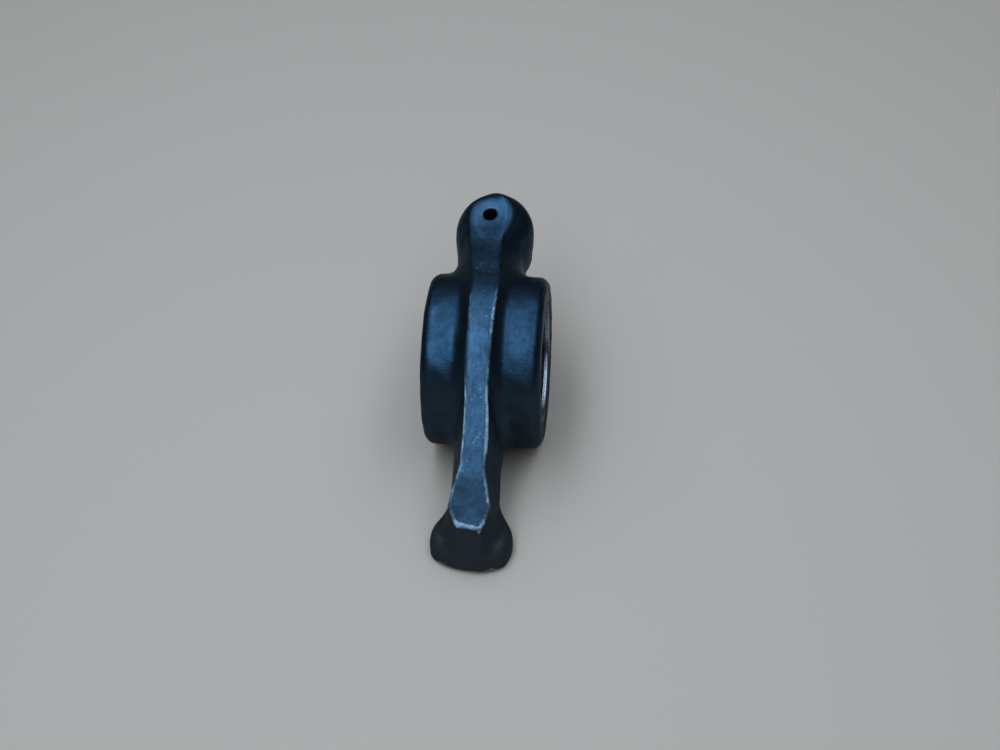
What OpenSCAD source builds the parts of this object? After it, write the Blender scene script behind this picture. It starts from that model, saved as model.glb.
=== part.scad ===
// Forged rocker arm that turns on two drawn-cup needle roller bearings.
// Millimetres. The origin is the middle of the shaft bore, +X runs along the bore,
// +Y points to the push-rod head and +Z is up. The arm stands on its barrel and its pad.

/* [Barrel] */
// Outer diameter of the barrel
barrel_d = 38; // [34:0.5:44]
// Length of the barrel along the shaft
barrel_l = 25.5; // [24:0.5:32]
// Rounding of the barrel's end edges
barrel_edge_r = 2; // [0.5:0.1:2.5]
// Forging draft, by which the barrel's radius shrinks towards its ends
barrel_draft = 0.3; // [0:0.05:0.6]
// Chamfer at each mouth of the bore
bore_chamfer = 0.5; // [0.2:0.1:0.9]

/* [Needle bearings] */
// Diameter of the shaft that the needles run on
shaft_d = 20; // [16:0.5:21]
// Diameter of a needle
needle_d = 2; // [1.5:0.1:2.2]
// Length of a needle
needle_l = 6.4; // [4:0.1:6.6]
// Needles in each bearing
needle_count = 20; // [12:1:20]
// Wall of the drawn cup
cup_wall = 0.96; // [0.6:0.02:1.2]
// Length of the cup along the shaft
cup_l = 10; // [9.6:0.1:11]
// Wall of the cup's turned-in lips
cup_lip_t = 0.9; // [0.6:0.1:1]
// Rounding of the cup's drawn outer edges
cup_edge_r = 0.8; // [0.3:0.1:1]
// Depth of the cup below the barrel's end
cup_inset = 1; // [0.2:0.1:1.5]
// Radial clearance of a needle on its raceway and on the shaft
needle_clearance = 0.02; // [0.01:0.01:0.05]
// Clearance of the lips from the shaft
lip_clearance = 0.2; // [0.15:0.01:0.22]
// Clearance of a needle in its pocket
pocket_clearance = 0.05; // [0.03:0.01:0.08]
// Radial thickness of the cage
cage_t = 1.3; // [0.8:0.1:1.4]
// End play of the cage between the lips
cage_end_play = 0.1; // [0.05:0.05:0.3]

/* [Spine rib] */
// Height of the rib above the barrel
rib_h = 2.3; // [1.5:0.1:4]
// Width of the rib's flat top over the barrel
rib_top_w = 5.9; // [4:0.1:7]
// Width of the rib's flat top on the valve arm
rib_near_w = 5.3; // [4:0.1:7]
// Width of the rib's flat top at the knee, where the facet begins
knee_w = 4.8; // [3.5:0.1:7]
// Width of the rib's foot where it runs out on the barrel
rib_foot_w = 12.4; // [9:0.1:14]
// Sideways offset of the arm from the middle of the barrel
arm_offset = -0.4; // [-2:0.1:2]
// Further sideways sweep of the rib where it climbs the neck
rib_sweep = -1.1; // [-2:0.1:1]

/* [Valve arm] */
// Distance from the bore to the middle of the pad
pad_reach = 38; // [34:0.5:44]
// Diameter of the round pad
pad_d = 17.6; // [14:0.2:20]
// Height of the pad's straight side
pad_h = 5.6; // [3:0.2:7]
// Rounding of the pad's front corners
pad_corner_r = 3.6; // [1:0.2:4]
// Radius of the curved face that pushes on the valve
pad_face_r = 26; // [18:1:60]
// Distance from the middle of the pad to the flat front of the nose
nose_reach = 7.2; // [6:0.1:8.2]
// Height of the arm's nose above the bottom of the pad
nose_h = 12; // [9:0.2:15]
// Width of the facet's end at the nose
nose_w = 5.1; // [4:0.1:8]
// Turn of the nose's front face away from the barrel's axis
nose_skew = 7; // [-10:0.5:10]
// Width of the facet above the pad
facet_w = 8.7; // [6:0.1:11]
// Spread of the arm's foot where it stands on the pad
pad_fillet = 2.5; // [0:0.1:3]
// Width of the arm's upright walls
arm_w = 10.3; // [8:0.1:12]

/* [Push-rod head] */
// Diameter of the head
head_d = 17.2; // [15:0.2:20]
// Height of the head's dome
head_dome_h = 7.5; // [5:0.1:9]
// Diameter of the head at its foot
head_foot_d = 15.2; // [13:0.2:17]
// Distance from the bore to the middle of the head
head_reach = 26.8; // [25:0.2:32]
// Height of the foot of the dome above the bore
head_rise = 13; // [11:0.2:17]
// Lean of the head's axis, its foot away from the bore
head_lean = 20; // [5:1:30]
// Length of the head from the foot of the dome down
head_l = 10.5; // [8:0.5:14]
// Sideways offset of the head from the middle of the barrel
head_offset = -0.45; // [-3:0.05:3]
// Width of the neck between the barrel and the head
neck_w = 14.4; // [12:0.1:17]
// Fillet where the neck runs into the barrel
neck_fillet = 3.6; // [2:0.1:5]
// Width of the flat round the oil hole
spot_w = 8.6; // [6:0.1:10]
// Sideways lean of the flat round the oil hole
spot_lean = 12; // [0:1:20]
// Diameter of the oil hole through the top of the head
oil_hole_d = 3; // [1.5:0.1:4]
// Diameter of the shallow dish round the oil hole
oil_dish_d = 5; // [4:0.1:7]
// Depth of that dish
oil_dish_depth = 0.2; // [0.1:0.05:0.5]
// Diameter of the push rod's ball
socket_ball_d = 10; // [7:0.5:11]

/* [Hidden] */
$fn = 96;
SIDES = ["left", "right"];
cut = 0.1;
grind = 0.5;

// Bearing sizes, from the shaft outwards
shaft_r = shaft_d / 2;
needle_r = needle_d / 2;
pitch_r = shaft_r + needle_clearance + needle_r;
raceway_r = pitch_r + needle_r + needle_clearance;
bore_r = raceway_r + cup_wall;
lip_r = shaft_r + lip_clearance;
cage_l = cup_l - 2 * (cup_lip_t + cage_end_play);
cage_in_r = pitch_r - needle_r * 0.7;
needle_end_play = 0.05;
needle_chamfer = needle_r * 0.15;
cup_x = barrel_l / 2 - cup_inset - cup_l / 2;

// Places on the side view, as [y, z]
barrel_r = barrel_d / 2;
pad_r = pad_d / 2;
head_r = head_d / 2;
ground_z = -barrel_r;
spine_r = barrel_r + rib_h;
wall_mid_r = (bore_r + barrel_r) / 2;
pad_rim_r = 1.3;
head_rim_r = 1.2;
nose = [-pad_reach - pad_r / 2, ground_z + nose_h];
nose_foot = [-pad_reach - nose_reach, ground_z];
nose_slope = atan2(nose.x - nose_foot.x, nose.y - nose_foot.y);
knee = [-pad_reach + pad_r * 0.74, ground_z + nose_h + 7.3];
pad_rear = [-pad_reach + pad_r - pad_rim_r, ground_z + pad_h - 1.2];
underside_bend = [-pad_reach + pad_r + 3.8, ground_z + 10];
web_end = [-pad_reach + pad_r + 9.6, ground_z + 10];
web_root = -on_ring(barrel_r - 1.5, 52);
head_top = [head_reach, head_rise];
head_foot = head_top + head_l * on_ring(1, 180 - head_lean);
hollow = head_top + [-7.6, 6.4];
crown = head_top + [1.6, 9.3];
crown_end = head_top + [8.2, 2.8];
neck_root = on_ring(barrel_r - 0.6, 87);
neck_arch = neck_root + [1.8, 4.2];
neck_end = head_foot + [-7, -1.5];
head_floor = head_foot + [-1, 3];
rise_angle = atan2(crown.y - hollow.y, crown.x - hollow.x);
oil_hole_top = lerp(hollow, crown, 0.56);

function lerp(a, b, u) = a + (b - a) * u;
function bezier(a, b, c, u) = lerp(lerp(a, b, u), lerp(b, c, u), u);
function on_ring(r, angle) = r * [sin(angle), cos(angle)];
function arc(centre, r, from, to, steps) =
    [for (i = [0 : steps]) let (a = lerp(from, to, i / steps)) centre + r * [cos(a), sin(a)]];

// Angle from the top of a ring at which a straight line to the point leaves it
function tangent_angle(point, r) =
    sign(point.x) * (atan2(abs(point.x), point.y) - acos(r / norm(point)));

near_angle = tangent_angle(knee, spine_r);
far_angle = tangent_angle(hollow, spine_r);
near_edge = on_ring(spine_r, near_angle);
far_edge = on_ring(spine_r, far_angle);

// The arm is followed by a number s: 0 at the nose, 1 at the knee, 2 where the rib meets the
// barrel's ring, 3 where it leaves it, 4 in the hollow of the neck, 5 at the crown, 6 at its end
function spine(s) =
    s < 1 ? lerp(nose - [grind, grind], knee, s)
    : s < 2 ? lerp(knee, near_edge, s - 1)
    : s < 3 ? on_ring(spine_r, lerp(near_angle, far_angle, s - 2))
    : s < 4 ? lerp(far_edge, hollow, s - 3)
    : s < 5 ? lerp(hollow, crown, s - 4)
    : bezier(crown, crown + [4.9, -0.7], crown_end, s - 5);
function underside(s) =
    s < 1 ? bezier(nose_foot - [grind, grind], nose_foot + [6, 0.5], pad_rear, s)
    : s < 1.6 ? bezier(pad_rear, underside_bend, web_end, (s - 1) / 0.6)
    : s < 2 ? bezier(web_end, web_end + [2.2, -0.3], web_root, (s - 1.6) / 0.4)
    : s < 3 ? on_ring(wall_mid_r, lerp(near_angle, far_angle, s - 2))
    : s < 4 ? bezier(on_ring(wall_mid_r, far_angle), on_ring(wall_mid_r, 45), neck_root, s - 3)
    : s < 4.4 ? bezier(neck_root, neck_arch, neck_end, (s - 4) / 0.4)
    : s < 5 ? lerp(neck_end, head_floor, (s - 4.4) / 0.6)
    : head_floor + [3, 0] * (s - 5);

// The spine with its corners eased, and its direction
function eased_spine(s) =
    let (soft = min(0.12, s, 6 - s))
    (spine(s - soft) + 2 * spine(s) + spine(s + soft)) / 4;
function heading(s) = eased_spine(min(6, s + 0.05)) - eased_spine(max(0, s - 0.05));

// The cross-section by s, as half widths and as depths measured square to the spine: the flat
// top, the corner that the flank is drawn towards, the heel where the flank ends and the body.
// The flares widen the body towards its lower edge, where it runs into the pad and the barrel.
top_halves = [
    [0, nose_w / 2 - 0.2], [0.4, facet_w / 2], [1.04, knee_w / 2], [1.26, rib_near_w / 2],
    [1.6, rib_near_w / 2], [2.1, rib_top_w / 2], [3.4, rib_top_w / 2], [4, rib_top_w / 2 + 0.6],
    [4.55, spot_w / 2], [4.8, spot_w / 2 - 0.2], [5.1, rib_top_w / 2], [6, 0.5]
];
corner_halves = [
    [0, nose_w / 2 + 0.5], [0.4, facet_w / 2 + 0.6], [1, arm_w / 2 - 1.4], [1.6, arm_w / 2 - 1.3],
    [2, rib_top_w / 2 + 1.2], [3, rib_top_w / 2 + 1.2], [3.3, rib_top_w / 2 + 1.5],
    [4, neck_w / 2 - 2.4], [4.5, neck_w / 2 - 1.4], [5, neck_w / 2 - 2.2], [6, 3]
];
corner_depths = [[0, 4], [1.6, 4], [1.8, 3], [2, rib_h], [3, rib_h], [3.6, 2], [4, 1.5], [6, 1.5]];
heel_halves = [
    [0, nose_w / 2 + 0.8], [0.4, facet_w / 2 + 0.9], [1, arm_w / 2 - 0.8], [1.6, arm_w / 2 - 0.7],
    [1.8, arm_w / 2 + 0.2], [2, rib_foot_w / 2], [3, rib_foot_w / 2], [3.3, rib_foot_w / 2 + 0.2],
    [3.6, neck_w / 2 - 1.3], [4, neck_w / 2 - 1.3], [4.5, neck_w / 2 - 0.2], [5, neck_w / 2 - 0.7],
    [6, 4.5]
];
heel_depths = [[0, 6], [1.6, 6], [1.8, 4.5], [2, rib_h + 0.1], [3, rib_h + 0.1], [3.3, 2.9], [6, 3]];
body_halves = [
    [0, nose_w / 2 + 1.2], [0.4, facet_w / 2 + 1.3], [0.8, arm_w / 2 + 0.2], [1.2, arm_w / 2],
    [1.6, arm_w / 2], [1.8, arm_w / 2 + 0.6], [2, rib_foot_w / 2], [3, rib_foot_w / 2],
    [3.3, neck_w / 2 + 1], [3.42, neck_w / 2 + 0.65 * neck_fillet],
    [3.5, neck_w / 2 + 0.75 * neck_fillet], [3.65, neck_w / 2 + 0.55 * neck_fillet],
    [3.75, neck_w / 2 + 0.2 * neck_fillet], [3.85, neck_w / 2], [4.2, neck_w / 2 + 0.2],
    [4.5, head_r - 0.2], [5, head_r - 0.4], [6, 6]
];
body_depths = [
    [0, 9], [0.4, 7.5], [0.9, 8], [1.1, 10], [1.6, 10], [1.8, 8], [2, rib_h + 1.1],
    [3, rib_h + 1.1], [3.3, 3.6], [3.42, 4.4], [3.5, 5], [3.58, 5.9], [3.65, 6.4], [3.75, 7.2],
    [6, 7]
];
flares = [
    [0.3, 0], [0.45, pad_fillet], [0.7, pad_fillet], [0.85, pad_fillet / 3], [0.95, 0], [1.6, 0],
    [1.9, 1.5], [2, 0], [3.6, 0], [3.8, neck_fillet], [3.94, 0.75 * neck_fillet],
    [4.06, 0.36 * neck_fillet], [4.2, 0], [4.35, -0.8], [5, -0.8]
];
top_shifts = [
    [0, arm_offset], [3, arm_offset], [3.4, arm_offset + rib_sweep * 0.2],
    [4, arm_offset + rib_sweep], [6, arm_offset + rib_sweep * 0.7]
];
body_shifts = [
    [0, arm_offset], [3, arm_offset], [4, head_offset - 0.45], [4.6, head_offset - 0.3],
    [6, head_offset]
];
top_leans = [[3.4, 0], [4.7, tan(spot_lean)], [6, 1.3 * tan(spot_lean)]];
skews = [[0, tan(nose_skew)], [1, 0]];

// Half of a cross-section as [half width, depth], down to the floor
function half_section(s, floor) =
    let (
        bevel = 0.35,
        top = lookup(s, top_halves),
        corner = [lookup(s, corner_halves), min(lookup(s, corner_depths), 0.45 * floor)],
        heel = [lookup(s, heel_halves), min(lookup(s, heel_depths), 0.5 * floor)],
        body = [lookup(s, body_halves), min(lookup(s, body_depths), 0.75 * floor)],
        shoulder = [body.x, min(heel.y + abs(body.x - heel.x), body.y)],
        low = body.x + lookup(s, flares),
        low_r = min(s < 4 ? 1.5 : 3, 0.2 * floor)
    )
    concat(
        [[top - bevel, 0]],
        [for (u = [0 : 0.25 : 1]) bezier([top + bevel / 2, bevel], corner, heel, u)],
        [for (u = [0.25 : 0.25 : 1]) bezier(heel, shoulder, body, u)],
        [for (a = [0 : 30 : 90]) [low - low_r * (1 - cos(a)), floor - low_r * (1 - sin(a))]]
    );

// The cross-section at s as points in space, round once. Its top may lean, and it may shift and
// turn, more at the top than further down.
function section(s) =
    let (
        top = eased_spine(s),
        down = underside(s) - top,
        along = heading(s),
        square = abs(cross(along, down)) / norm(along) / norm(down),
        half = half_section(s, norm(down) * square),
        lean = lookup(s, top_leans),
        mirrored = [for (i = [len(half) - 1 : -1 : 0]) [-half[i].x, half[i].y]]
    )
    [for (p = concat(half, mirrored)) let (
        deep = min(1, p.y / lookup(s, body_depths)),
        level = 1 - min(1, p.y / lookup(s, heel_depths)),
        at = top + down / norm(down) / square * (p.y - lean * p.x * level)
    ) [
        p.x + lerp(lookup(s, top_shifts), lookup(s, body_shifts), deep),
        at.x - p.x * lookup(s, skews),
        at.y
    ]];

stations = concat(
    [0, 0.2, 0.4, 0.55, 0.7, 0.82, 0.92, 1.04, 1.14, 1.26, 1.4, 1.6, 1.7, 1.8, 1.9],
    [for (i = [0 : 10]) 2 + i / 10],
    [3.15, 3.3, 3.42, 3.5, 3.58, 3.65, 3.75, 3.85, 3.94, 4.06, 4.2, 4.35, 4.55, 4.7, 4.85],
    [4.95, 5.05, 5.2, 5.4, 5.6, 5.8, 6]
);

// A skin stretched over cross-sections that all have the same number of points
module loft(sections) {
    around = len(sections[0]);
    last = len(sections) - 1;
    points = [for (s = sections) each s];
    sides = [for (j = [0 : last - 1], i = [0 : around - 1])
        let (a = j * around + i, b = j * around + (i + 1) % around)
        each [[a, a + around, b], [b, a + around, b + around]]];
    caps = [for (i = [0 : around / 2 - 2])
        let (a = i, b = i + 1, c = around - 2 - i, d = around - 1 - i, end = last * around)
        each [[a, b, c], [a, c, d], [end + a, end + c, end + b], [end + a, end + d, end + c]]];
    polyhedron(points, concat(sides, caps), convexity = 8);
}

// Turns a body of revolution from the Z axis onto the shaft's axis
module on_shaft() {
    rotate([0, 90, 0]) children();
}

// Puts a body of revolution on the head's axis, the middle of the dome at its origin
module on_head() {
    translate([head_offset, head_top.x, head_top.y]) rotate([head_lean, 0, 0]) children();
}

// Barrel round the shaft, thickest in the middle where the dies part
module barrel() {
    end_r = barrel_r - barrel_draft - barrel_edge_r;
    end_x = barrel_l / 2 - barrel_edge_r;
    on_shaft() rotate_extrude()
        polygon(concat(
            [[0, -barrel_l / 2]],
            arc([end_r, -end_x], barrel_edge_r, -90, 0, 5),
            [[barrel_r, 0]],
            arc([end_r, end_x], barrel_edge_r, 0, 90, 5),
            [[0, barrel_l / 2]]
        ));
}

// Moves a child to the middle of the pad's lowest line
module on_pad() {
    translate([arm_offset, -pad_reach, ground_z]) children();
}

// Pad under the nose
module pad() {
    on_pad() rotate_extrude()
        polygon(concat(
            [[0, -grind], [pad_r, -grind]],
            arc([pad_r - pad_rim_r, pad_h - pad_rim_r], pad_rim_r, 0, 90, 4),
            [[0, pad_h]]
        ));
}

// What is trimmed off in front, to leave one flat face down the nose and the pad and to round
// the corners on both sides of it
module trimmed_off() {
    flat_half = sqrt(pow(pad_r, 2) - pow(nose_reach, 2)) - 0.43 * pad_corner_r;
    corner = arc([flat_half, pad_corner_r], pad_corner_r, -60, -90, 3);
    clear = corner[0] + pad_d * [cos(30), sin(30)];
    right = concat([[clear.x, -pad_d], clear], corner);
    on_pad() rotate([0, 0, -nose_skew])
        translate([0, -nose_reach, 0]) rotate([-nose_slope, 0, 0])
            translate([0, 0, -pad_h]) linear_extrude(height = nose_h + 2 * pad_h)
                polygon(concat(right, [for (i = [len(right) - 1 : -1 : 0]) [-right[i].x, right[i].y]]));
}

// What the grinder takes off, to leave a curved face for the tip of the valve
module ground_off() {
    on_pad() difference() {
        translate([-pad_d, -pad_d, -pad_h]) cube([2 * pad_d, 2 * pad_d, 2 * pad_h]);
        translate([0, 0, pad_face_r]) on_shaft()
            cylinder(r = pad_face_r, h = 3 * pad_d, center = true);
    }
}

// Head that takes the push rod: a flattened dome on a foot that narrows downwards
module head() {
    foot_r = head_foot_d / 2;
    on_head() rotate_extrude()
        polygon(concat(
            [[0, -head_l]],
            arc([foot_r - head_rim_r, -head_l + head_rim_r], head_rim_r, -90, 0, 4),
            [for (a = [0 : 7.5 : 82.5]) [head_r * cos(a), head_dome_h * sin(a)]],
            [[0, head_dome_h]]
        ));
}

module bore() {
    on_shaft() {
        cylinder(r = bore_r, h = barrel_l + 2, center = true);
        for (end = [-1, 1])
            translate([0, 0, end * (barrel_l / 2 - bore_chamfer / 2)])
                cylinder(
                    r1 = end > 0 ? bore_r : bore_r + bore_chamfer,
                    r2 = end > 0 ? bore_r + bore_chamfer : bore_r,
                    h = bore_chamfer,
                    center = true
                );
    }
}

// Ball socket in the foot of the head
module socket() {
    ball_r = socket_ball_d / 2;
    on_head() translate([0, 0, -head_l + 1]) {
        sphere(r = ball_r);
        translate([0, 0, -2]) cylinder(r = ball_r, h = 2);
    }
}

// Oil hole from the flat on the head down into the socket, with its shallow dish
module oil_hole() {
    dish_r = (pow(oil_dish_d / 2, 2) + pow(oil_dish_depth, 2)) / (2 * oil_dish_depth);
    translate([arm_offset + rib_sweep * 0.64, oil_hole_top.x, oil_hole_top.y])
        rotate([rise_angle, 0, 0]) {
            translate([0, 0, -head_l - 4]) cylinder(d = oil_hole_d, h = head_l + 8);
            translate([0, 0, dish_r - oil_dish_depth]) sphere(r = dish_r);
        }
}

module rocker_arm() {
    color([0.22, 0.25, 0.3]) difference() {
        union() {
            barrel();
            loft([for (s = stations) section(s)]);
            head();
            pad();
        }
        bore();
        trimmed_off();
        ground_off();
        socket();
        oil_hole();
    }
}

// Moves a bearing piece from the middle of the shaft to its end of the bore
module at_side(side) {
    translate([side == "left" ? -cup_x : cup_x, 0, 0]) on_shaft() children();
}

// Drawn cup with a lip turned in at each end
module needle_cup(side) {
    end_z = cup_l / 2;
    color([0.78, 0.79, 0.8]) at_side(side) rotate_extrude()
        polygon(concat(
            [[raceway_r, -end_z + cup_lip_t], [lip_r, -end_z + cup_lip_t], [lip_r, -end_z]],
            arc([bore_r - cup_edge_r, -end_z + cup_edge_r], cup_edge_r, -90, 0, 5),
            arc([bore_r - cup_edge_r, end_z - cup_edge_r], cup_edge_r, 0, 90, 5),
            [[lip_r, end_z], [lip_r, end_z - cup_lip_t], [raceway_r, end_z - cup_lip_t]]
        ));
}

// Places a child at one needle's place on the pitch circle
module at_needle(i) {
    rotate([0, 0, i * 360 / needle_count]) translate([pitch_r, 0, 0]) children();
}

// Window cage: its pockets wrap each needle, so the needles can't drop out
module needle_cage(side) {
    pocket_r = needle_r + pocket_clearance;
    pocket_l = needle_l + 2 * needle_end_play;
    color([0.55, 0.52, 0.46]) at_side(side) difference() {
        cylinder(r = cage_in_r + cage_t, h = cage_l, center = true);
        cylinder(r = cage_in_r, h = cage_l + cut, center = true);
        for (i = [1 : needle_count])
            at_needle(i) cylinder(r = pocket_r, h = pocket_l, center = true);
    }
}

module needle(side, i) {
    end_z = needle_l / 2;
    color([0.85, 0.86, 0.88]) at_side(side) at_needle(i) rotate_extrude()
        polygon([
            [0, -end_z], [needle_r - needle_chamfer, -end_z], [needle_r, -end_z + needle_chamfer],
            [needle_r, end_z - needle_chamfer], [needle_r - needle_chamfer, end_z], [0, end_z]
        ]);
}

rocker_arm();
for (side = SIDES) {
    needle_cup(side);
    needle_cage(side);
    for (i = [1 : needle_count])
        needle(side, i);
}
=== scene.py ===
"""Looks of a forged rocker arm that turns on two drawn-cup needle roller bearings.

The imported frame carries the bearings. The arm's own piece is one blended skin: the barrel, the
spine rib, the valve arm with its pad and the push-rod head run into each other through fillets,
as a drop forging's do, and the machined faces are cut out of it.
"""

import math

import bpy
import numpy as np
from bpy.props import FloatProperty, FloatVectorProperty, PointerProperty
from mathutils import Euler, Matrix, Vector


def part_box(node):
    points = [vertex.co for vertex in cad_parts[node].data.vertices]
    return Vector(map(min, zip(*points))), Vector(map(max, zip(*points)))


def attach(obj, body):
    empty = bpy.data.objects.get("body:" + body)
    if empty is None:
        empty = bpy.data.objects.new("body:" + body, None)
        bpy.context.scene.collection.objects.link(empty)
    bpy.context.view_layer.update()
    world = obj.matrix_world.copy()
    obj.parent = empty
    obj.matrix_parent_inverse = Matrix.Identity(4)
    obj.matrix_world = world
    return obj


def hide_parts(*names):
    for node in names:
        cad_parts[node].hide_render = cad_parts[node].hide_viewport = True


bl_info = {
    "name": "Needle-bearing rocker arm",
    "version": (1, 0, 0),
    "blender": (4, 5, 0),
    "location": "3D View > Sidebar > Rocker arm",
    "description": "Builds the looks of a forged rocker arm and its needle roller bearings",
    "category": "Mesh",
}

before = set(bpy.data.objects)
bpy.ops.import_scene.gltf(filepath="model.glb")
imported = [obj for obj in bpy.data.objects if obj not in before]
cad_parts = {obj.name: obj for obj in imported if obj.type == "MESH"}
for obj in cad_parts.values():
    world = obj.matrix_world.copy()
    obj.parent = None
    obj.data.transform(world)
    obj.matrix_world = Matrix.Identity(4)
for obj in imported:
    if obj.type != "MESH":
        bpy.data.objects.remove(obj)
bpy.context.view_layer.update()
MM = 0.001


def box_mm(node):
    """Lowest and highest corner of a node of the frame, in millimetres."""
    low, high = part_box(node)
    return np.array(low) / MM, np.array(high) / MM


# ---------------------------------------------------------------- places and sizes, in millimetres

# Read from the frame: the barrel is the arm's widest part and stands on the ground, and the cup
# fills the bore
ARM_LOW, ARM_HIGH = box_mm("rocker_arm")
CUP_HIGH = box_mm("right_cup")[1]
BARREL_END = float(ARM_HIGH[0])
GROUND_Z = float(ARM_LOW[2])
BARREL_R = -GROUND_Z
BORE_R = float(CUP_HIGH[1])

# The barrel: the rounding of its ends, how much its radius shrinks towards them, and its chamfers
BARREL_EDGE = 2.0
BARREL_DRAFT = 0.3
MOUTH_CHAMFER = 0.5

# Side view of the spine's flat top as (y, z), from the nose over the barrel to behind the head. Over
# the barrel it is an arc, whose ends are angles from the top in degrees
SPINE_START = (-47.5, -10.4)
NOSE = (-42.4, -7.0)
KNEE = (-31.5, 0.3)
RIB_RISE = 2.15
RING_R = BARREL_R + RIB_RISE
RING_ENDS = (-42, 6)
SPINE_FALL = (12.5, 20.04)
HOLLOW = (20.5, 18.6)
CROWN = (28.4, 22.1)
CROWN_BEND = (32.6, 20.6)
CROWN_END = (34.4, 15.2)
HEAD_REAR = (32.4, 6.1)
SPINE_END = (32, -8)
SPINE_ROUND = 2.2

# Side view of the underside as (y, z): under the nose and the pad, up the web, through the barrel,
# where it doesn't show, and along the floor of the neck and the head
UNDER_START = (-60, -19.6)
NOSE_UNDER = (-44, -19.3)
NOSE_FOOT = (-45.3, -19.0)
PAD_BEND = (-39.3, -18.5)
PAD_REAR = (-30.4, -14.6)
UNDER_BEND = (-25.4, -9.0)
WEB_END = (-19.6, -9.0)
INSIDE_BARREL = [(-8, -9), (8, 3)]
NECK_FLOOR = (15.4, 4.4)
HEAD_FLOOR = (29.4, 6.1)
UNDER_END = (45, 8.3)
UNDER_ROUND = 1.5

# Corners far off, which close the two lines into outlines
FAR_BELOW = [(32, -60), (-70, -60), (-70, -26)]
FAR_ABOVE = [(60, 60), (-70, 60), (-70, -19.6)]

# Half widths along the arm as (y, half width): of the rib's flat top, and between the arm's walls
TOP_WIDTHS = [(-46, 1.1), (-42.6, 2.5), (-38.3, 4.45), (-31.1, 2.5), (-28.4, 2.6), (-24, 2.55),
              (-21, 2.35), (-14, 2.4), (-8, 2.5), (0, 2.75), (8, 3.0), (15, 3.35), (20, 3.6),
              (24.3, 4.3), (26.5, 4.1), (29, 3.1), (32, 1.2)]
ARM_WIDTHS = [(-46, 4.9), (-42.6, 5.1), (-38.3, 6.6), (-33, 5.7), (-25, 5.5), (-10, 5.3),
              (0, 5.3), (6, 5.4), (12, 6.1), (19, 6.5), (26, 6.7), (34, 6.0)]
# How far the middle of each lies off the middle of the barrel, as (y, x)
TOP_SHIFT = [(-46, -0.1), (-42.4, 0.0), (-38.3, -0.3), (-33, -0.3), (-27, 0.2), (-23, 0.1),
             (-19, -0.2), (-14, -0.2), (-9, 0.0), (3, 0.0), (8, -0.4), (14, -1.1), (19, -1.5),
             (24, -1.3), (34, -1.1)]
ARM_SHIFT = [(-46, -0.4), (4, -0.4), (12, -0.5), (19, -0.95), (26, -0.8), (34, -0.8)]
# How far the top rises for each millimetre to the right, and the flanks run out for each they fall
TOP_LEANS = [(-46, 0), (10, 0), (20, 0.12), (26, 0.22), (34, 0.3)]
FLANKS = [(-46, 0.16), (-38, 0.2), (-34, 0.36), (-25, 0.36), (0, 0.45), (8, 0.5), (19, 0.6),
          (34, 0.6)]

# Rounding of the edges between flank and wall, and along the underside
SHOULDER_EDGE = 2.5
LOWER_EDGE = 1.2
# The neck's top lies this far under the spine's line, and its edges are rounder
NECK_DROP = 2.6
NECK_EDGE = 4.0
# The neck grows out of the barrel between these places along y
NECK_FROM = (-2, 5)

# The pad, with the curve of its ground face. It is cut only below and in front of PAD_CUT, (y, z)
PAD_PLACE = (-0.4, -38.0)
PAD_R = 8.8
PAD_H = 5.6
PAD_EDGE = 3.0
PAD_FACE_R = 26.0
PAD_CUT = (-24, -14)
# The arm and the pad are joined in front of this place along y
PAD_FROM = -20

# The flat front of the nose: its distance from the pad's middle, and how it leans back and turns to
# the left. Its edge is sharp at the top and rounder at the foot, over these depths along -z
NOSE_REACH = 6.95
NOSE_LEAN = math.radians(13.6)
NOSE_SKEW = math.radians(7.0)
NOSE_EDGES = (0.3, 3.6)
NOSE_EDGE_DEPTHS = (11.5, 14.5)

# The head: a power of 2 would make its dome a ball. On its right the dome is fuller, and the neck
# runs into it through a smaller fillet. Left passes into right over HEAD_TURN, along x
HEAD_PLACE = (-0.45, 26.8, 13.0)
HEAD_R = 8.6
HEAD_DOME = 7.9
HEAD_FOOT_R = 7.6
HEAD_FOOT_EDGE = 1.2
HEAD_L = 10.5
HEAD_LEAN = math.radians(20.0)
HEAD_POWERS = (2.3, 3.1)
HEAD_FILLETS = (2.4, 1.0)
HEAD_TURN = (0, 5)

# The ball socket, whose middle lies above the head's foot, and the oil hole, which is drilled square
# to the slope of the crown through the middle of a shallow dish
SOCKET_R = 5.0
SOCKET_UP = 1.0
OIL_HOLE_PLACE = (-1.25, 24.75, 21.2)
OIL_HOLE_R = 1.42
OIL_HOLE_DEPTH = 14
CROWN_SLOPE = math.radians(16.4)
DISH_R = 14
DISH_DEPTH = 0.22

# Rounding of the edges that the cutters leave
PAD_FACE_EDGE = 0.5
DISH_EDGE = 1.0
SOCKET_EDGE = 0.35
OIL_HOLE_EDGE = 0.2
BORE_EDGE = 0.12

# Finish along the arm as (y, share): how much of the rib's edges has worn off, where values above 1
# widen the worn line, and how much its flat top is rubbed. The last table is painted shade: how much
# of the flat top is darkened, on the facet at the nose and on the slope behind the neck, where the
# light leaves it dark
EDGE_WEAR = [(-46, 2.2), (-42, 2.2), (-40.5, 0.8), (-35, 0.8), (-32, 1.4), (-6, 1.6), (-1, 0.8),
             (3, 0.15), (34, 0.1)]
RUBBED = [(-46, 0), (-34, 0), (-30, 1), (-13, 1), (-5, 0.3), (2, 0.5), (6, 1), (14.5, 1),
          (18.5, 0.2), (21, 0.1), (24, 0.3), (26, 0.5), (34, 0.5)]
# Painted shade: how much the flat top is darkened where the light leaves it dark
PAINTED_SHADE_ON_TOP = [(-46, 0.4), (-42.5, 0.4), (-41.7, 0.15), (-40.5, 0.45), (-33.5, 0.5), (-31, 0), (16.5, 0),
        (18.6, 0.9), (20.8, 0.75), (23, 0.2), (25, 0), (34, 0)]

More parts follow.
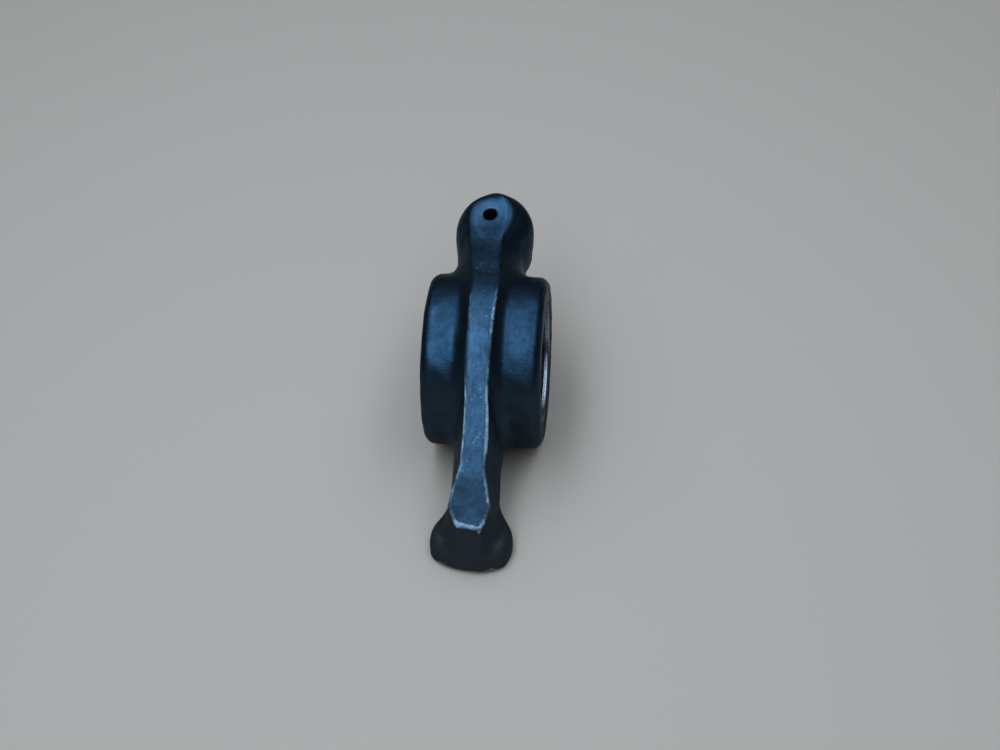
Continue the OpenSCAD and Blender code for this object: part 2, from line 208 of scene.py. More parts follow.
# Where a finish begins and where it is full: the bend of a worn edge, in 1/mm, its place beside the
# flat top, and how far inside the flat top and how deep in a cut the skin lies
WORN_BEND = (0.9, 2.1)
WORN_PLACE = (-0.9, -0.3)
TOP_PLACE = (0.1, 0.6)
CUT_DEPTH = (0.1, 0.4)
# The same for the end of the flat top at the nose, along -y, where the worn line lies further in,
# for the scale on the pad, along -y, and for the greyer tone of all that is low, along -z, with the
# share of each
TOP_END = (40.8, 41.8)
END_INSET = 0.45
PAD_SCALE_FROM = (30, 38)
PAD_SCALE = 0.85
LOW_GREY_FROM = (-13, -5)
LOW_GREY = 0.42

GRID_MARGIN = 2.5


# ---------------------------------------------------------------- the stage, in metres and degrees

# The right softbox has this share of the left one's power
RIGHT_SHARE = 0.55
FLOOR_REACH = 3.0
LAMP_COLOUR = (0.86, 1.0, 1.18)
ROOM_COLOUR = (0.92, 0.79, 0.68, 1)
CAMERA_LENS = 67.18
CAMERA_PLACE = (0.04063, -0.28940, 0.28760)
CAMERA_TURN = (44.966, 1.987, 5.522)


# ---------------------------------------------------------------- sizes and colours to change


class ForgingSizes(bpy.types.PropertyGroup):
    """Fillets, edges and fineness of the forging's skin"""
    cell: FloatProperty(
        name="Mesh cell", description="Spacing of the points that the skin is worked out on",
        default=0.37 * MM, min=0.3 * MM, max=1.5 * MM, precision=5, unit="LENGTH")
    rib_fillet: FloatProperty(
        name="Rib fillet", description="Radius where the rib's flanks run into the barrel",
        default=3.2 * MM, min=0.5 * MM, max=5 * MM, precision=4, unit="LENGTH")
    neck_fillet: FloatProperty(
        name="Neck fillet", description="Radius where the neck runs into the barrel",
        default=3.2 * MM, min=1 * MM, max=6 * MM, precision=4, unit="LENGTH")
    pad_fillet: FloatProperty(
        name="Pad fillet", description="Radius where the valve arm runs into its pad",
        default=2.6 * MM, min=0.5 * MM, max=4 * MM, precision=4, unit="LENGTH")
    worn_edge: FloatProperty(
        name="Worn edge", description="Rounding of the rib's edges",
        default=0.35 * MM, min=0.1 * MM, max=1 * MM, precision=4, unit="LENGTH")
    unevenness: FloatProperty(
        name="Unevenness", description="How far the forged skin wanders from its true shape",
        default=0.05 * MM, min=0, max=0.2 * MM, precision=5, unit="LENGTH")


class Finish(bpy.types.PropertyGroup):
    """Colours of the forging and the bearings"""
    oxide: FloatVectorProperty(
        name="Oxide", description="Colour of the forging's blue-black skin",
        default=(0.0165, 0.0490, 0.090), min=0, max=1, subtype="COLOR")
    oxide_dark: FloatVectorProperty(
        name="Dark oxide", description="Colour of the skin's darker patches",
        default=(0.0095, 0.0280, 0.051), min=0, max=1, subtype="COLOR")
    # Also the greyer tone of all that is low, by a smaller share
    scale: FloatVectorProperty(
        name="Scale", description="Colour of the dull scale on the pad and the low parts",
        default=(0.046, 0.056, 0.062), min=0, max=1, subtype="COLOR")
    burnished: FloatVectorProperty(
        name="Burnished oxide", description="Colour of the skin where the rib's top is rubbed",
        default=(0.028, 0.072, 0.126), min=0, max=1, subtype="COLOR")
    bare_steel: FloatVectorProperty(
        name="Bare steel", description="Colour of steel where the skin has worn off",
        default=(0.31, 0.50, 0.68), min=0, max=1, subtype="COLOR")
    ground_steel: FloatVectorProperty(
        name="Ground steel", description="Colour of the machined faces",
        default=(0.24, 0.285, 0.34), min=0, max=1, subtype="COLOR")
    bearing_steel: FloatVectorProperty(
        name="Bearing steel", description="Colour of the polished cups and needles",
        default=(0.42, 0.44, 0.47), min=0, max=1, subtype="COLOR")
    cage_steel: FloatVectorProperty(
        name="Cage steel", description="Colour of the pressed cages",
        default=(0.12, 0.115, 0.11), min=0, max=1, subtype="COLOR")
    wear: FloatProperty(
        name="Wear", description="How much of the edges' skin has worn off",
        default=0.9, min=0, max=1, subtype="FACTOR")


class Stage(bpy.types.PropertyGroup):
    """Floor and light"""
    floor: FloatVectorProperty(
        name="Floor", description="Colour of the floor",
        default=(0.43, 0.386, 0.333), min=0, max=1, subtype="COLOR")
    softbox: FloatProperty(
        name="Softbox", description="Power of the left softbox, of which the right one has a share",
        default=1.08, min=0, max=50, unit="POWER")
    panel: FloatProperty(
        name="Panel", description="Power of the wide dim panel between the softboxes",
        default=1.3, min=0, max=50, unit="POWER")
    room: FloatProperty(
        name="Room", description="Strength of the even light from all round",
        default=0.06, min=0, max=5)


# ---------------------------------------------------------------- working out the skin


def both(a, b, radius):
    """Distance to what lies inside both shapes, with the edge between them rounded: the larger of
    a and b, but -radius at most, plus the length of what each is above -radius."""
    return np.minimum(np.maximum(a, b), -radius) + np.hypot(
        np.maximum(a + radius, 0), np.maximum(b + radius, 0))


def either(a, b, radius):
    """Distance to two shapes joined through a fillet: the smaller of a and b, but the radius at
    least, less the length of what each is below the radius."""
    return np.maximum(np.minimum(a, b), radius) - np.hypot(
        np.maximum(radius - a, 0), np.maximum(radius - b, 0))


def smooth_step(value, low, high):
    """0 below low, 1 above high, and an even S between them."""
    t = np.clip((value - low) / (high - low), 0, 1)
    return t * t * (3 - 2 * t)


def passage(first, last, value, low, high):
    """The first size where the value is below low, the last where it is above high, and an even S
    between them."""
    return first + (last - first) * smooth_step(value, low, high)


def eased(y, knots, soft, past=4, count=900):
    """A size that changes along the arm: straight between the knots, averaged over soft mm on a
    grid that ends past the knots."""
    place, size = np.array(knots, float).T
    grid = np.linspace(place[0] - past, place[-1] + past, count)
    window = np.hanning(2 * int(soft / (grid[1] - grid[0])) + 3)
    reach = len(window) // 2
    values = np.pad(np.interp(grid, place, size), reach, "edge")
    return np.interp(y, grid, np.convolve(values, window / window.sum(), "valid"))


def rounded_line(points, soft, step=0.5):
    """A line through the points, sampled evenly, with its corners averaged over soft mm."""
    points = np.array(points, float)
    along = np.concatenate([[0], np.cumsum(np.hypot(*np.diff(points, axis=0).T))])
    at = np.linspace(0, along[-1], int(along[-1] / step))
    even = np.stack([np.interp(at, along, column) for column in points.T], 1)
    window = np.hanning(2 * int(soft / step) + 3)
    reach = len(window) // 2
    ends = (2 * even[0] - even[reach:0:-1], even, 2 * even[-1] - even[-2:-reach - 2:-1])
    longer = np.concatenate(ends)
    return np.stack([np.convolve(c, window / window.sum(), "valid") for c in longer.T], 1)


def ring_points(radius, first, last, count=40):
    """Points on a circle round the bore: radius times the sine and cosine of their angle from the
    top, which is given in degrees."""
    angle = np.radians(np.linspace(first, last, count))
    return radius * np.stack([np.sin(angle), np.cos(angle)], 1)


def bend(a, b, c, count=16):
    """A quadratic curve from a to c that is drawn towards b: a, b and c weighted with (1 - u)
    squared, 2 u (1 - u) and u squared."""
    u = np.linspace(0, 1, count)[:, None]
    return (1 - u) ** 2 * np.array(a) + 2 * u * (1 - u) * np.array(b) + u * u * np.array(c)


def outline_distance(outline, y, z):
    """Signed distance in the side view from the points to a closed outline: the least distance
    to its sides, negative where the outline winds round the point."""
    start = np.array(outline, np.float32)
    side_y, side_z = (np.roll(start, -1, 0) - start).T
    from_y = np.asarray(y, np.float32)[..., None] - start[:, 0]
    from_z = np.asarray(z, np.float32)[..., None] - start[:, 1]
    along = (from_y * side_y + from_z * side_z) / (side_y ** 2 + side_z ** 2)
    along = np.clip(along, 0, 1)
    away = np.hypot(from_y - along * side_y, from_z - along * side_z).min(-1)
    turn = side_y * from_z - side_z * from_y
    above, below = from_z >= 0, from_z < side_z
    winding = (above & below & (turn > 0)).sum(-1) - (~above & ~below & (turn < 0)).sum(-1)
    return np.where(winding != 0, -away, away)


def side_outlines():
    """The spine's line closed far below, and the line of the underside closed far above."""
    spine = rounded_line(np.concatenate([
        [SPINE_START, NOSE, KNEE], ring_points(RING_R, *RING_ENDS),
        bend(SPINE_FALL, HOLLOW, CROWN)[:-1], bend(CROWN, CROWN_BEND, CROWN_END),
        [HEAD_REAR, SPINE_END]]), SPINE_ROUND)
    under = rounded_line(np.concatenate([
        [UNDER_START, NOSE_UNDER], bend(NOSE_FOOT, PAD_BEND, PAD_REAR),
        bend(PAD_REAR, UNDER_BEND, WEB_END)[1:], INSIDE_BARREL,
        [NECK_FLOOR, HEAD_FLOOR, UNDER_END]]), UNDER_ROUND)
    return np.concatenate([spine, FAR_BELOW]), np.concatenate([under, FAR_ABOVE])


SPINE_OUTLINE, UNDER_OUTLINE = side_outlines()


def wander(x, y, z):
    """A slow unevenness between about -1 and 1: a third of the sum of six sines, whose waves are 13
    to 3.4 mm long and run in directions drawn at random."""
    rng = np.random.default_rng(7)
    total = 0
    for wave in (13, 9, 7, 5.5, 4.2, 3.4):
        turn = rng.normal(size=3)
        turn *= 2 * np.pi / wave / np.linalg.norm(turn)
        total = total + np.sin(turn[0] * x + turn[1] * y + turn[2] * z + rng.uniform(0, 6.3))
    return total / 3


def head_axis(x, y, z):
    """Distance from the head's axis, and height along it above the middle of its dome."""
    dy, dz = y - HEAD_PLACE[1], z - HEAD_PLACE[2]
    up = -dy * math.sin(HEAD_LEAN) + dz * math.cos(HEAD_LEAN)
    out = dy * math.cos(HEAD_LEAN) + dz * math.sin(HEAD_LEAN)
    return np.hypot(x - HEAD_PLACE[0], out), up


def barrel_skin(x, y, z):
    """A cylinder along x with rounded ends, whose radius shrinks evenly by the draft towards them."""
    off_end = np.abs(x) - BARREL_END
    off_side = np.hypot(y, z) - BARREL_R + BARREL_DRAFT * np.abs(x) / BARREL_END
    return both(off_end, off_side, BARREL_EDGE)


def arm_skin(x, y, z, worn_edge):
    """Distances to the arm and to the neck, and the place on the rib's flat top.

    The arm's top follows the spine's line, its flanks fall away on a slope and turn into upright
    walls, and it ends at the underside. The neck has the same walls and a lower, rounder top. The
    place is above 0 on the flat top, up to 1 a millimetre inside its edge, and below 0 off it.
    """
    under_spine = outline_distance(SPINE_OUTLINE, y, z)
    over_floor = outline_distance(UNDER_OUTLINE, y, z)
    slope = eased(y, FLANKS, soft=3)
    across = x - eased(y, TOP_SHIFT, soft=3)
    under_top = under_spine - eased(y, TOP_LEANS, soft=3) * across
    flank = np.abs(across) - eased(y, TOP_WIDTHS, soft=0.3) + slope * under_spine
    flank = flank / np.hypot(1, slope)
    wall = np.abs(x - eased(y, ARM_SHIFT, soft=3)) - eased(y, ARM_WIDTHS, soft=2)
    arm = both(both(flank, wall, SHOULDER_EDGE), under_top, worn_edge)
    arm = both(arm, over_floor, LOWER_EDGE)
    neck = both(wall, under_spine + NECK_DROP, NECK_EDGE)
    neck = both(neck, over_floor, LOWER_EDGE)
    return arm, neck, under_top - np.maximum(flank, -1)


def pad_skin(x, y, z):
    """An upright cylinder with a round upper edge, open below, where the ground face ends it."""
    out = np.hypot(x - PAD_PLACE[0], y - PAD_PLACE[1]) - PAD_R
    return both(out, z - GROUND_Z - PAD_H, PAD_EDGE)


def head_skin(x, y, z):
    """A dome on a cone that narrows to its round lower edge. The dome is fuller than a ball: its
    radius is the root of the sum of the powers of its reach and of its height."""
    out, up = head_axis(x, y, z)
    taper = (HEAD_R - HEAD_FOOT_R) / HEAD_L
    cone = (out - HEAD_R - taper * up) / math.hypot(1, taper)
    power = passage(*HEAD_POWERS, x - HEAD_PLACE[0], *HEAD_TURN)
    dome = (out ** power + np.abs(up * HEAD_R / HEAD_DOME) ** power) ** (1 / power) - HEAD_R
    return both(np.where(up > 0, dome, cone), -up - HEAD_L, HEAD_FOOT_EDGE)


def machined(x, y, z):
    """Distances past what each cutter leaves, above 0 where it has cut: the bore with its chamfers,
    the flat front of the nose, the curved face under the pad, the ball socket, and the oil hole's
    dish and the oil hole."""
    ring = np.hypot(y, z)
    chamfer = (ring - BORE_R - (np.abs(x) - BARREL_END + MOUTH_CHAMFER)) / math.sqrt(2)
    bore = -np.minimum(ring - BORE_R, chamfer)

    px, py, pz = x - PAD_PLACE[0], y - PAD_PLACE[1], z - GROUND_Z
    nose = ((-px * math.sin(NOSE_SKEW) - py * math.cos(NOSE_SKEW) - NOSE_REACH)
            * math.cos(NOSE_LEAN) + pz * math.sin(NOSE_LEAN))
    ground = np.minimum(np.hypot(py, pz - PAD_FACE_R) - PAD_FACE_R, PAD_CUT[1] - z)
    ground = np.minimum(ground, PAD_CUT[0] - y)

    out, up = head_axis(x, y, z)
    deep = up + HEAD_L - SOCKET_UP
    socket = SOCKET_R - np.where(deep > 0, np.hypot(out, deep), out)

    ox, oy, oz = x - OIL_HOLE_PLACE[0], y - OIL_HOLE_PLACE[1], z - OIL_HOLE_PLACE[2]
    hole_up = -oy * math.sin(CROWN_SLOPE) + oz * math.cos(CROWN_SLOPE)
    hole_out = np.hypot(ox, oy * math.cos(CROWN_SLOPE) + oz * math.sin(CROWN_SLOPE))
    dish = DISH_R - np.hypot(hole_out, hole_up - DISH_R + DISH_DEPTH)
    oil_hole = np.where(hole_up > -OIL_HOLE_DEPTH, OIL_HOLE_R - hole_out, -1)
    return bore, nose, ground, socket, dish, oil_hole


def forging(x, y, z, sizes):
    """Distance to the whole forging, below 0 inside it, how deep a cutter has gone under the skin,
    and the place on the rib's flat top.

    The neck and the head, the arm and the pad join the barrel through fillets, the skin wanders a
    little, and then each cutter takes its part off.
    """
    arm, neck, on_top = arm_skin(x, y, z, sizes["worn_edge"])
    barrel = barrel_skin(x, y, z)
    headed = either(either(barrel, neck, sizes["neck_fillet"]), head_skin(x, y, z),
                    passage(*HEAD_FILLETS, x, *HEAD_TURN))
    body = passage(barrel, headed, y, *NECK_FROM)
    body = either(body, arm, sizes["rib_fillet"])
    body = np.where(y < PAD_FROM, either(body, pad_skin(x, y, z), sizes["pad_fillet"]), body)
    body = body + sizes["unevenness"] * wander(x, y, z)

    bore, nose, ground, socket, dish, oil_hole = machined(x, y, z)
    cut = both(body, nose, passage(*NOSE_EDGES, -z, *NOSE_EDGE_DEPTHS))
    for cutter, edge in ((ground, PAD_FACE_EDGE), (dish, DISH_EDGE), (socket, SOCKET_EDGE),
                         (oil_hole, OIL_HOLE_EDGE), (bore, BORE_EDGE)):
        cut = both(cut, cutter, edge)
    cutters = np.maximum(np.maximum(ground, socket), bore)
    return cut, cutters - np.maximum(body, nose), on_top


def finish_shares(points, sharp, cut, on_top):
    """How much of each finish the points have, by the name of its attribute.

    The edges are worn where the skin bends sharply beside the flat top, and twice as easily where
    the top ends at the nose. Scale lies on the pad, and all that is low is greyer by a smaller share.
    The flat top gets painted shade along the arm, where the light leaves it dark.
    """
    y, z = points[:, 1], points[:, 2]
    at_end = smooth_step(-y, *TOP_END)
    worn = smooth_step(sharp * (1 + at_end), *WORN_BEND)
    worn = worn * smooth_step(on_top - END_INSET * at_end, *WORN_PLACE)
    return {"edge_wear": worn * eased(y, EDGE_WEAR, soft=0.5),
            "machined": smooth_step(cut, *CUT_DEPTH),
            "top": smooth_step(on_top, *TOP_PLACE),
            "rubbed": eased(y, RUBBED, soft=2),
            # Painted shade on the flat top, where the light leaves it dark
            "dull": eased(y, PAINTED_SHADE_ON_TOP, soft=1),
            # Scale on the pad, and a greyer tone on all that is low
            "scale": np.maximum(PAD_SCALE * smooth_step(-y, *PAD_SCALE_FROM),
                                LOW_GREY * smooth_step(-z, *LOW_GREY_FROM))}


def net_surface(field, low, cell):
    """The surface where a field on a grid is zero: one point in each cell that it crosses, at the
    mean of its crossings on the cell's twelve edges, and one face round each edge it crosses."""
    cells = np.array(field.shape) - 1
    total, hits = np.zeros((cells.prod(), 3)), np.zeros(cells.prod())
    faces = []
    for axis in range(3):
        near = np.take(field, range(field.shape[axis] - 1), axis)
        far = np.take(field, range(1, field.shape[axis]), axis)
        edge = np.argwhere((near < 0) != (far < 0))
        at_near, at_far = near[tuple(edge.T)], far[tuple(edge.T)]
        place = edge.astype(float)
        place[:, axis] += at_near / (at_near - at_far)
        u, v = (axis + 1) % 3, (axis + 2) % 3
        corners = []
        for back_u, back_v in ((0, 0), (1, 0), (1, 1), (0, 1)):
            around = edge.copy()
            around[:, u] -= back_u
            around[:, v] -= back_v
            number = np.ravel_multi_index(around.T, cells)
            for k in range(3):
                total[:, k] += np.bincount(number, place[:, k], len(total))
            hits += np.bincount(number, minlength=len(hits))
            corners.append(number)
        face = np.stack(corners, 1)
        faces.append(np.where((at_near < 0)[:, None], face, face[:, ::-1]))
    used, faces = np.unique(np.concatenate(faces), return_inverse=True)
    points = low + total[used] / hits[used, None] * cell
    return points, faces.reshape(-1, 4)


def sampled(field, low, cell, points):
    """The field at the points, by straight steps between the eight nearest places of its grid."""
    place = (points - low) / cell
    base = np.clip(place.astype(int), 0, np.array(field.shape) - 2)
    part = place - base
    value = 0
    for corner in np.ndindex(2, 2, 2):
        share = np.prod(np.where(corner, part, 1 - part), axis=1)
        value = value + share * field[tuple((base + corner).T)]
    return value


def mesh_piece(name, points, faces):
    """A mesh object from points in millimetres and quads, smooth shaded, at the origin."""
    mesh = bpy.data.meshes.new(name)
    mesh.vertices.add(len(points))
    mesh.vertices.foreach_set("co", (points * MM).astype(np.float32).ravel())
    mesh.loops.add(faces.size)
    mesh.loops.foreach_set("vertex_index", faces.astype(np.int32).ravel())
    mesh.polygons.add(len(faces))
    mesh.polygons.foreach_set("loop_start", np.arange(0, faces.size, 4, dtype=np.int32))
    mesh.update(calc_edges=True)
    mesh.validate()
    mesh.shade_smooth()
    piece = bpy.data.objects.new(name, mesh)
    bpy.context.scene.collection.objects.link(piece)
    return piece


def point_attribute(piece, name, values):
    """Stores one number for each point of the piece."""
    attribute = piece.data.attributes.new(name, "FLOAT", "POINT")
    attribute.data.foreach_set("value", values.astype(np.float32))


# ---------------------------------------------------------------- materials


class Nodes:
    """Short ways to build one material's nodes. Noise and spots count their scale per metre."""

    def __init__(self, name):
        self.material = bpy.data.materials.new(name)
        self.material.use_nodes = True
        self.tree = self.material.node_tree
        self.tree.nodes.clear()
        self.place = self.new("ShaderNodeTexCoord").outputs["Object"]
        self.shader = self.new("ShaderNodeBsdfPrincipled")
        output = self.new("ShaderNodeOutputMaterial")
        self.join(self.shader.outputs["BSDF"], output.inputs["Surface"])

    def new(self, kind, **settings):
        node = self.tree.nodes.new(kind)
        for key, value in settings.items():
            setattr(node, key, value)
        return node

    def join(self, output, socket):
        self.tree.links.new(output, socket)

    def fill(self, socket, value):
        """Links an output to the socket, or sets the socket to a number or colour."""
        if isinstance(value, bpy.types.NodeSocket):
            self.join(value, socket)
        elif hasattr(value, "__len__") and len(socket.default_value) == 4 and len(value) == 3:
            socket.default_value = (*value, 1)
        else:
            socket.default_value = value

    def stretched(self, scale):
        """Object coordinates times a scale of its own on each axis."""
        node = self.new("ShaderNodeMapping")
        self.join(self.place, node.inputs["Vector"])
        node.inputs["Scale"].default_value = scale
        return node.outputs["Vector"]

    def noise(self, scale, detail, rough, place=None):
        node = self.new("ShaderNodeTexNoise")
        self.join(place or self.place, node.inputs["Vector"])
        node.inputs["Scale"].default_value = scale
        node.inputs["Detail"].default_value = detail
        node.inputs["Roughness"].default_value = rough
        return node.outputs["Fac"]

    def spots(self, scale):
        node = self.new("ShaderNodeTexVoronoi")
        self.join(self.place, node.inputs["Vector"])
        node.inputs["Scale"].default_value = scale
        return node.outputs["Distance"]

    def step(self, value, low, high, to_low=0.0, to_high=1.0):
        """to_low where the value is below low, to_high above high, and an even S between them."""
        node = self.new("ShaderNodeMapRange", interpolation_type="SMOOTHSTEP")
        self.fill(node.inputs["Value"], value)
        node.inputs["From Min"].default_value = low
        node.inputs["From Max"].default_value = high
        node.inputs["To Min"].default_value = to_low
        node.inputs["To Max"].default_value = to_high
        return node.outputs["Result"]

    def math(self, operation, a, b):
        node = self.new("ShaderNodeMath", operation=operation)
        self.fill(node.inputs[0], a)
        self.fill(node.inputs[1], b)
        return node.outputs[0]

    def times(self, a, b):
        return self.math("MULTIPLY", a, b)

    def mix(self, share, a, b):
        """Colour a with a share of colour b."""
        node = self.new("ShaderNodeMix", data_type="RGBA")
        self.fill(node.inputs[0], share)
        self.fill(node.inputs[6], a)
        self.fill(node.inputs[7], b)
        return node.outputs[2]

    def attribute(self, name):
        node = self.new("ShaderNodeAttribute", attribute_name=name)
        return node.outputs["Fac"]

    def relief(self, height, strength, depth, under=None):
        """Bump of a real depth in metres, on top of an earlier one."""
        node = self.new("ShaderNodeBump")
        node.inputs["Strength"].default_value = strength
        node.inputs["Distance"].default_value = depth
        self.fill(node.inputs["Height"], height)
        if under is not None:
            self.join(under, node.inputs["Normal"])
        return node.outputs["Normal"]

    def finish(self, colour, rough, normal, metallic=1.0):
        self.fill(self.shader.inputs["Base Color"], colour)
        self.fill(self.shader.inputs["Roughness"], rough)
        self.fill(self.shader.inputs["Metallic"], metallic)
        self.join(normal, self.shader.inputs["Normal"])
        return self.material


def oxide_colour(n, finish, clouds, top, scale_and_low_grey, rubbed):
    """Cloudy blue-black oxide with dark flecks, grey scale on the pad and a greyer tone low down,
    painted shade in blotches on the flat top where the light leaves it dark, and streaks of burnish
    along the arm on the rubbed parts."""
    oxide = n.mix(n.step(clouds, 0.30, 0.60), finish.oxide_dark, finish.oxide)
    flecks = n.step(n.noise(1200, 3, 0.65), 0.42, 0.58, 0.0, 0.4)
    oxide = n.mix(flecks, oxide, finish.oxide_dark)
    oxide = n.mix(scale_and_low_grey, oxide, finish.scale)
    # Painted shade: a darker colour in blotches on the flat top, by its share along the arm
    shade_blotches = n.step(n.noise(500, 4, 0.65), 0.38, 0.60, 0.6, 1.2)
    dull = n.times(n.times(top, n.attribute("dull")), shade_blotches)
    oxide = n.mix(dull, oxide, [0.45 * part for part in finish.oxide_dark])
    streaks = n.step(n.noise(1.0, 4, 0.7, n.stretched((1400, 500, 500))), 0.36, 0.62, 0.30, 1.0)
    return n.mix(n.times(rubbed, streaks), oxide, finish.burnished)


def bare_share(n, finish, rubbed):
    """How much bare steel shows: patches and small chips on the worn edges, and scuffs that come
    in groups on the rubbed parts."""
    patches = n.step(n.noise(150, 4, 0.65), 0.40, 0.56, 0.32, 1.0)
    chips = n.step(n.noise(800, 3, 0.6), 0.35, 0.60, 0.6, 1.1)
    edges = n.times(n.times(n.attribute("edge_wear"), patches), chips)
    groups = n.step(n.noise(170, 2, 0.5), 0.50, 0.62)
    scuffs = n.times(n.times(n.step(n.noise(1500, 3, 0.6), 0.60, 0.70), groups), rubbed)
    bare = n.math("MAXIMUM", n.times(edges, finish.wear), n.times(scuffs, 0.4))
    return n.math("MINIMUM", bare, 1.0)


def forged_material(finish):
    """Blue-black forging skin with pits, grain and low swells, worn to bare steel on its edges, and
    bright steel where the attribute says that a cutter has been."""
    n = Nodes("forged_steel")
    clouds = n.noise(260, 4, 0.6)
    top, cut = n.attribute("top"), n.attribute("machined")
    # Share of scale on the pad and of the greyer tone low down, less on the flat top
    scale_and_low_grey = n.times(n.attribute("scale"), n.math("SUBTRACT", 1.0, n.times(top, 0.8)))
    rubbed = n.times(top, n.attribute("rubbed"))
    bare = bare_share(n, finish, rubbed)
    colour = n.mix(bare, oxide_colour(n, finish, clouds, top, scale_and_low_grey, rubbed), finish.bare_steel)
    colour = n.mix(cut, colour, finish.ground_steel)

    rough = n.step(clouds, 0.3, 0.75, 0.40, 0.34)
    for share, more in ((scale_and_low_grey, 0.28), (bare, 0.12), (cut, -0.21)):
        rough = n.math("ADD", rough, n.times(share, more))
    metallic = n.math("SUBTRACT", 1.0, n.times(bare, 0.5))
    pits = n.relief(n.step(n.spots(1100), 0.0, 0.35), 0.3, 0.06 * MM)
    grain = n.relief(n.noise(1500, 3, 0.6), 0.5, 0.06 * MM, pits)
    relief = n.relief(n.noise(420, 3, 0.6), 0.25, 0.1 * MM, grain)

    n.fill(n.shader.inputs["Specular Tint"], (0.50, 0.50, 0.48))
    n.fill(n.shader.inputs["Coat Weight"], 0.13)
    n.fill(n.shader.inputs["Coat Roughness"], 0.85)
    return n.finish(colour, rough, relief, metallic)


def bearing_material(name, colour, rough, grain_scale):
    """Bearing steel, darker in faint clouds. Its grain is fine grinding lines round the shaft's axis
    where the scale is larger along x, and even where the scale is the same on each axis."""
    n = Nodes(name)
    clouds = n.step(n.noise(260, 3, 0.6), 0.4, 0.7, 0.0, 0.35)
    tone = n.mix(clouds, colour, [0.6 * part for part in colour])
    lines = n.noise(1.0, 2, 0.5, n.stretched(grain_scale))
    roughness = n.step(lines, 0.3, 0.7, rough * 0.8, rough * 1.25)
    return n.finish(tone, roughness, n.relief(lines, 0.15, 0.02 * MM))


def dress(nodes, material):
    """Gives CAD nodes one material."""
    for name in nodes:
        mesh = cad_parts[name].data
        mesh.materials.clear()
        mesh.materials.append(material)


def nodes_like(word):
    """Names of the frame's nodes that have the word in them."""
    return sorted(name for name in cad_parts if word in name)


# ---------------------------------------------------------------- operators


class ROCKER_OT_forging(bpy.types.Operator):
    """Works out the forging's skin and puts it in the place of the plain solid"""
    bl_idname = "rocker.forging"
    bl_label = "Forging"

    def execute(self, context):
        given = context.scene.rocker_forging
        sizes = {name: getattr(given, name) / MM for name in
                 ("rib_fillet", "neck_fillet", "pad_fillet", "worn_edge", "unevenness")}
        cell = given.cell / MM * 1
        margin = GRID_MARGIN * cell
        low = ARM_LOW - margin
        counts = np.ceil((ARM_HIGH + margin - low) / cell).astype(int) + 1
        x, y, z = (low[k] + cell * np.arange(counts[k]) for k in range(3))
        field, cut, on_top = forging(x[:, None, None], y[None, :, None], z[None, None, :], sizes)
        points, faces = net_surface(field, low, cell)
        piece = mesh_piece("forged_arm", points, faces)

        shifted = [np.roll(field, way, axis) for axis in range(3) for way in (-1, 1)]
        bulge = (sum(shifted) - 6 * field) / cell ** 2
        at_points = [sampled(each, low, cell, points) for each in (bulge, cut, on_top)]
        for name, share in finish_shares(points, *at_points).items():
            point_attribute(piece, name, share)
        piece.data.materials.append(forged_material(context.scene.rocker_finish))
        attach(piece, "arm")
        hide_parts("rocker_arm")
        print("forged_arm", len(points), "points", 2 * len(faces), "triangles")
        return {"FINISHED"}


class ROCKER_OT_bearings(bpy.types.Operator):
    """Gives the cups, cages and needles of both bearings their steel"""
    bl_idname = "rocker.bearings"
    bl_label = "Needle bearings"

    def execute(self, context):
        finish = context.scene.rocker_finish
        # Each kind's colour and roughness, and the scale of its grain along x, y and z, per metre
        for kind, colour, rough, grain_scale in (
                ("cup", finish.bearing_steel, 0.12, (9000, 400, 400)),
                ("cage", finish.cage_steel, 0.42, (1500, 1500, 1500)),
                ("needle", finish.bearing_steel, 0.14, (9000, 900, 900))):
            material = bearing_material(kind + "_steel", colour, rough, grain_scale)
            dress(nodes_like("_" + kind), material)
        return {"FINISHED"}


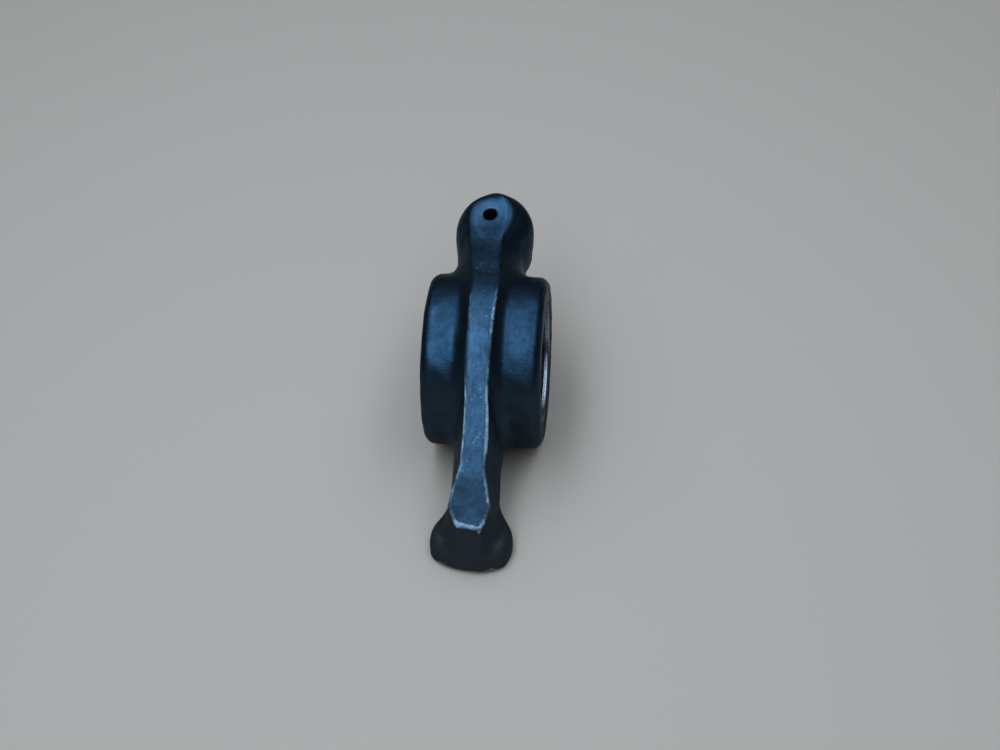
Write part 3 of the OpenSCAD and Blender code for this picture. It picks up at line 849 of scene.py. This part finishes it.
class ROCKER_OT_stage(bpy.types.Operator):
    """Lays the floor, hangs the lamps and sets up the camera"""
    bl_idname = "rocker.stage"
    bl_label = "Stage"

    def execute(self, context):
        scene, stage = context.scene, context.scene.rocker_stage
        self.floor(stage.floor)
        self.lamp("left_softbox", (-0.105, -0.10, 0.42), (0.11, 0.75), stage.softbox)
        self.lamp("right_softbox", (0.15, -0.10, 0.40), (0.11, 0.75), RIGHT_SHARE * stage.softbox)
        self.lamp("panel", (-0.035, 0.02, 0.36), (0.65, 0.70), stage.panel)

        world = bpy.data.worlds.new("room")
        world.use_nodes = True
        background = world.node_tree.nodes["Background"]
        background.inputs["Color"].default_value = ROOM_COLOUR
        background.inputs["Strength"].default_value = stage.room
        scene.world = world

        camera = bpy.data.cameras.new("camera")
        camera.lens = CAMERA_LENS
        camera.clip_start = 0.01
        view = bpy.data.objects.new("camera", camera)
        view.location = CAMERA_PLACE
        view.rotation_euler = Euler(map(math.radians, CAMERA_TURN))
        scene.collection.objects.link(view)
        scene.camera = view
        scene.view_settings.view_transform = "Standard"
        return {"FINISHED"}

    def floor(self, colour):
        """A square floor that the object stands on, far larger than the view."""
        reach, ground = FLOOR_REACH, GROUND_Z * MM
        corners = [(-reach, -reach, ground), (reach, -reach, ground),
                   (reach, reach, ground), (-reach, reach, ground)]
        mesh = bpy.data.meshes.new("floor")
        mesh.from_pydata(corners, [], [(0, 1, 2, 3)])
        n = Nodes("floor")
        n.fill(n.shader.inputs["Base Color"], tuple(colour))
        n.fill(n.shader.inputs["Roughness"], 0.9)
        mesh.materials.append(n.material)
        floor = bpy.data.objects.new("floor", mesh)
        bpy.context.scene.collection.objects.link(floor)

    def lamp(self, name, place, size, power):
        """An oblong lamp that faces the origin, with its longer side along y."""
        light = bpy.data.lights.new(name, "AREA")
        light.shape = "RECTANGLE"
        light.size, light.size_y = size
        light.energy = power
        light.color = LAMP_COLOUR
        lamp = bpy.data.objects.new(name, light)
        lamp.location = place
        back = Vector(place).normalized()
        along = (Vector((0, 1, 0)) - back * back.y).normalized()
        lamp.rotation_euler = Matrix((along.cross(back), along, back)).transposed().to_euler()
        bpy.context.scene.collection.objects.link(lamp)


class ROCKER_PT_panel(bpy.types.Panel):
    """Sizes, colours and build steps of the rocker arm"""
    bl_idname = "ROCKER_PT_panel"
    bl_label = "Rocker arm"
    bl_space_type = "VIEW_3D"
    bl_region_type = "UI"
    bl_category = "Rocker arm"

    def draw(self, context):
        for step, group in STEPS:
            box = self.layout.box()
            if group:
                values = getattr(context.scene, group)
                for name in values.bl_rna.properties.keys():
                    if name not in ("name", "rna_type"):
                        box.prop(values, name)
            box.operator(step)


STEPS = (("rocker.forging", "rocker_forging"), ("rocker.bearings", "rocker_finish"),
         ("rocker.stage", "rocker_stage"))
CLASSES = (ForgingSizes, Finish, Stage, ROCKER_OT_forging, ROCKER_OT_bearings, ROCKER_OT_stage,
           ROCKER_PT_panel)


def register():
    for cls in CLASSES:
        bpy.utils.register_class(cls)
    bpy.types.Scene.rocker_forging = PointerProperty(type=ForgingSizes)
    bpy.types.Scene.rocker_finish = PointerProperty(type=Finish)
    bpy.types.Scene.rocker_stage = PointerProperty(type=Stage)


def unregister():
    for name in ("rocker_forging", "rocker_finish", "rocker_stage"):
        delattr(bpy.types.Scene, name)
    for cls in reversed(CLASSES):
        bpy.utils.unregister_class(cls)


def main():
    register()
    bpy.ops.rocker.forging()
    bpy.ops.rocker.bearings()
    bpy.ops.rocker.stage()


if __name__ == "__main__":
    main()
